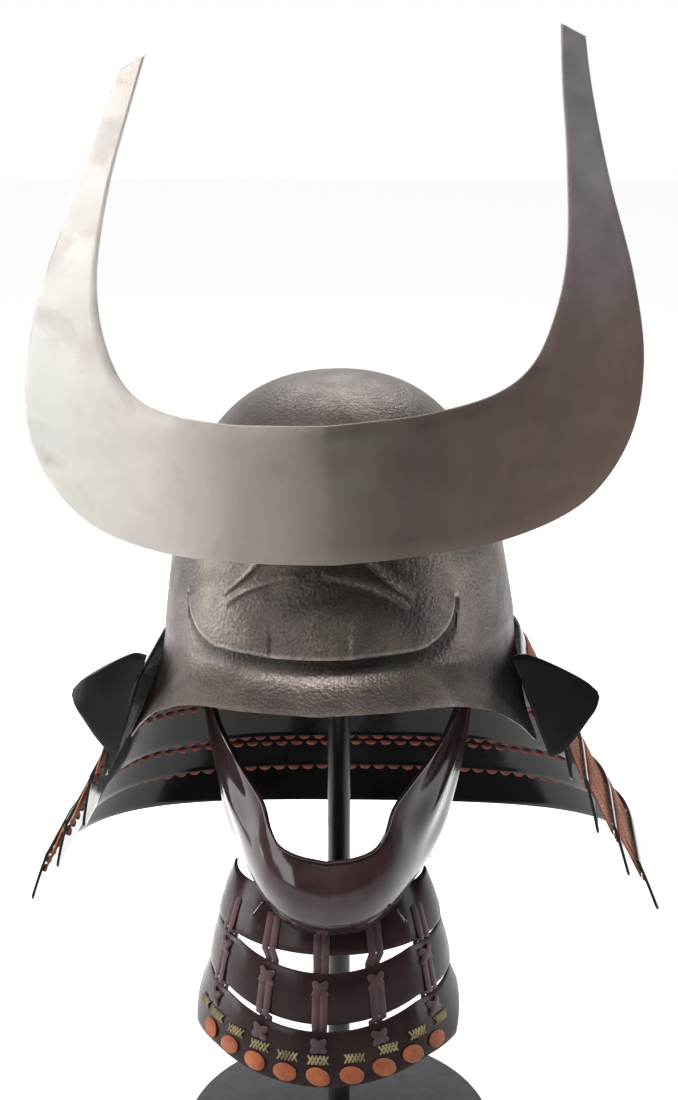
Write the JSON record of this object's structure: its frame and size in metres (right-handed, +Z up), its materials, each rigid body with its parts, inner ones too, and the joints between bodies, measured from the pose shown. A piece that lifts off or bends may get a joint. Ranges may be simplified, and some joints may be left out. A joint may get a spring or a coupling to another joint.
{
  "type": "kabuto samurai helmet with half mask on a display stand",
  "caption": "Samurai helmet with a horned crest, laced neck guard, half mask and throat guard, held on a plain round-footed display stand.",
  "frame": {"origin": "centre of the underside of the stand's round base, where it rests", "axes": "+Z up along the post, -Y towards the front of the helmet, +X towards the viewer's right when seen from the front (the helmet's own left)"},
  "size_m": [0.4338, 0.338, 0.8025],
  "materials": {
    "hammered_iron": "hammered dark brown-grey iron with a fine pebbled skin, satin",
    "patinated_crest": "flat sheet metal with a soft brown-grey patina, satin",
    "black_lacquer": "black lacquer, high gloss",
    "brown_lacquer": "dark brown-maroon lacquer, high gloss",
    "orange_silk": "flat braided silk, burnt orange, matt",
    "maroon_silk": "flat braided silk, dark maroon, matt",
    "gold_thread": "dull gold thread, matt with small glints",
    "stand_black": "black satin",
    "stand_grey": "dark grey satin paint"
  },
  "bodies": {
    "root": {"crest": "patinated_crest", "bowl": "hammered_iron", "crest_holder": "hammered_iron", "neck_lame_1": "black_lacquer", "neck_lame_2": "black_lacquer", "neck_lame_3": "black_lacquer", "neck_lame_4": "black_lacquer", "neck_lame_5": "black_lacquer", "neck_lacing_1": "orange_silk", "neck_lacing_2": "orange_silk", "neck_lacing_3": "orange_silk", "neck_lacing_4": "orange_silk", "mask": "brown_lacquer", "mask_peg_left": "brown_lacquer", "mask_peg_right": "brown_lacquer", "throat_lame_1": "brown_lacquer", "throat_lame_2": "brown_lacquer", "throat_lame_3": "brown_lacquer", "throat_lace_upper_1": "maroon_silk", "throat_lace_upper_2": "maroon_silk", "throat_lace_upper_3": "maroon_silk", "throat_lace_upper_4": "maroon_silk", "throat_lace_upper_5": "maroon_silk", "throat_lace_lower_1": "maroon_silk", "throat_lace_lower_2": "maroon_silk", "throat_lace_lower_3": "maroon_silk", "throat_lace_lower_4": "maroon_silk", "throat_lace_lower_5": "maroon_silk", "orange_round_1": "orange_silk", "orange_round_2": "orange_silk", "orange_round_3": "orange_silk", "orange_round_4": "orange_silk", "orange_round_5": "orange_silk", "orange_round_6": "orange_silk", "orange_round_7": "orange_silk", "orange_round_8": "orange_silk", "orange_round_9": "orange_silk", "gold_knot_1": "gold_thread", "gold_knot_2": "gold_thread", "gold_knot_3": "gold_thread", "gold_knot_4": "gold_thread", "gold_knot_5": "gold_thread", "gold_knot_6": "gold_thread", "gold_knot_7": "gold_thread", "gold_knot_8": "gold_thread", "gold_knot_9": "gold_thread", "gold_knot_10": "gold_thread", "mask_hanger": "stand_black", "stand_base": "stand_grey", "stand_post": "stand_black", "stand_head": "stand_black"}
  },
  "joints": []
}
